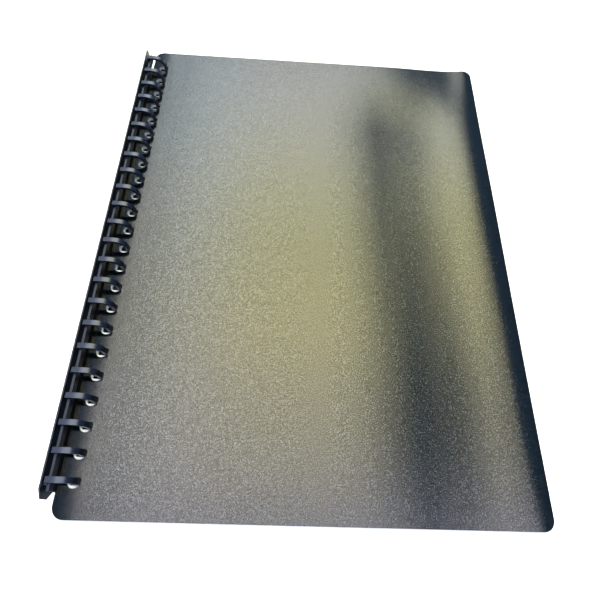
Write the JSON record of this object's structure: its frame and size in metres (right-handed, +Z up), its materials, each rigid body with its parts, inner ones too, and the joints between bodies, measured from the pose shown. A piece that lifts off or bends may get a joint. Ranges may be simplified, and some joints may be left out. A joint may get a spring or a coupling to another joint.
{
  "type": "display book",
  "caption": "Closed A4 display book: black grained covers and clear film pockets on a comb of D-shaped rings, locked by a bar that slides on along the spine.",
  "frame": {"origin": "middle of the footprint, on the table", "axes": "+X across the covers away from the spine, +Y along the spine towards the pocket mouths, +Z up from the table"},
  "size_m": [0.238, 0.312, 0.018],
  "materials": {
    "cover_sheet": "extruded polypropylene sheet, fine sand grain, half gloss",
    "binding": "moulded polypropylene, satin",
    "film": "clear polypropylene film, glossy"
  },
  "bodies": {
    "back_cover": {"back_cover": "cover_sheet"},
    "binder": {"ring_rail": "binding", "ring_01": "binding", "ring_02": "binding", "ring_03": "binding", "ring_04": "binding", "ring_05": "binding", "ring_06": "binding", "ring_07": "binding", "ring_08": "binding", "ring_09": "binding", "ring_10": "binding", "ring_11": "binding", "ring_12": "binding", "ring_13": "binding", "ring_14": "binding", "ring_15": "binding", "ring_16": "binding", "ring_17": "binding", "ring_18": "binding", "ring_19": "binding", "ring_20": "binding", "ring_21": "binding", "ring_22": "binding", "ring_23": "binding"},
    "spine_bar": {"spine_bar": "binding"},
    "front_cover": {"front_cover": "cover_sheet"},
    "pocket_01": {"pocket_01_back_film": "film", "pocket_01_front_film": "film"},
    "pocket_02": {"pocket_02_back_film": "film", "pocket_02_front_film": "film"},
    "pocket_03": {"pocket_03_back_film": "film", "pocket_03_front_film": "film"},
    "pocket_04": {"pocket_04_back_film": "film", "pocket_04_front_film": "film"},
    "pocket_05": {"pocket_05_back_film": "film", "pocket_05_front_film": "film"},
    "pocket_06": {"pocket_06_back_film": "film", "pocket_06_front_film": "film"},
    "pocket_07": {"pocket_07_back_film": "film", "pocket_07_front_film": "film"},
    "pocket_08": {"pocket_08_back_film": "film", "pocket_08_front_film": "film"},
    "pocket_09": {"pocket_09_back_film": "film", "pocket_09_front_film": "film"},
    "pocket_10": {"pocket_10_back_film": "film", "pocket_10_front_film": "film"}
  },
  "joints": [
    {"name": "binder_roll", "type": "hinge", "parent": "back_cover", "child": "binder", "pos_m": [-0.1127, 0, 0.00645], "axis": [0, -1, 0], "range_deg": [0, 90]},
    {"name": "spine_bar_slide", "type": "slide", "parent": "binder", "child": "spine_bar", "axis": [0, -1, 0], "range_m": [0, 0.3]},
    {"name": "front_cover_turn", "type": "hinge", "parent": "binder", "child": "front_cover", "pos_m": [-0.11425, 0, 0.01035], "axis": [0, -1, 0], "range_deg": [0, 90.9]},
    {"name": "pocket_01_turn", "type": "hinge", "parent": "binder", "child": "pocket_01", "pos_m": [-0.11425, 0, 0.01035], "axis": [0, -1, 0], "range_deg": [0, 90.81]},
    {"name": "pocket_02_turn", "type": "hinge", "parent": "binder", "child": "pocket_02", "pos_m": [-0.11425, 0, 0.01035], "axis": [0, -1, 0], "range_deg": [0, 90.63]},
    {"name": "pocket_03_turn", "type": "hinge", "parent": "binder", "child": "pocket_03", "pos_m": [-0.11425, 0, 0.01035], "axis": [0, -1, 0], "range_deg": [0, 90.45]},
    {"name": "pocket_04_turn", "type": "hinge", "parent": "binder", "child": "pocket_04", "pos_m": [-0.11425, 0, 0.01035], "axis": [0, -1, 0], "range_deg": [0, 90.27]},
    {"name": "pocket_05_turn", "type": "hinge", "parent": "binder", "child": "pocket_05", "pos_m": [-0.11425, 0, 0.01035], "axis": [0, -1, 0], "range_deg": [0, 90.09]},
    {"name": "pocket_06_turn", "type": "hinge", "parent": "binder", "child": "pocket_06", "pos_m": [-0.1127, 0, 0.00645], "axis": [0, -1, 0], "range_deg": [-88.65, 0]},
    {"name": "pocket_07_turn", "type": "hinge", "parent": "binder", "child": "pocket_07", "pos_m": [-0.1127, 0, 0.00645], "axis": [0, -1, 0], "range_deg": [-88.92, 0]},
    {"name": "pocket_08_turn", "type": "hinge", "parent": "binder", "child": "pocket_08", "pos_m": [-0.1127, 0, 0.00645], "axis": [0, -1, 0], "range_deg": [-89.19, 0]},
    {"name": "pocket_09_turn", "type": "hinge", "parent": "binder", "child": "pocket_09", "pos_m": [-0.1127, 0, 0.00645], "axis": [0, -1, 0], "range_deg": [-89.46, 0]},
    {"name": "pocket_10_turn", "type": "hinge", "parent": "binder", "child": "pocket_10", "pos_m": [-0.1127, 0, 0.00645], "axis": [0, -1, 0], "range_deg": [-89.73, 0]}
  ],
  "couplings": [
    {"joint": "front_cover_turn", "follows": "binder_roll", "ratio": 1.01},
    {"joint": "pocket_01_turn", "follows": "binder_roll", "ratio": 1.009},
    {"joint": "pocket_02_turn", "follows": "binder_roll", "ratio": 1.007},
    {"joint": "pocket_03_turn", "follows": "binder_roll", "ratio": 1.005},
    {"joint": "pocket_04_turn", "follows": "binder_roll", "ratio": 1.003},
    {"joint": "pocket_05_turn", "follows": "binder_roll", "ratio": 1.001},
    {"joint": "pocket_06_turn", "follows": "binder_roll", "ratio": -0.985},
    {"joint": "pocket_07_turn", "follows": "binder_roll", "ratio": -0.988},
    {"joint": "pocket_08_turn", "follows": "binder_roll", "ratio": -0.991},
    {"joint": "pocket_09_turn", "follows": "binder_roll", "ratio": -0.994},
    {"joint": "pocket_10_turn", "follows": "binder_roll", "ratio": -0.997}
  ]
}
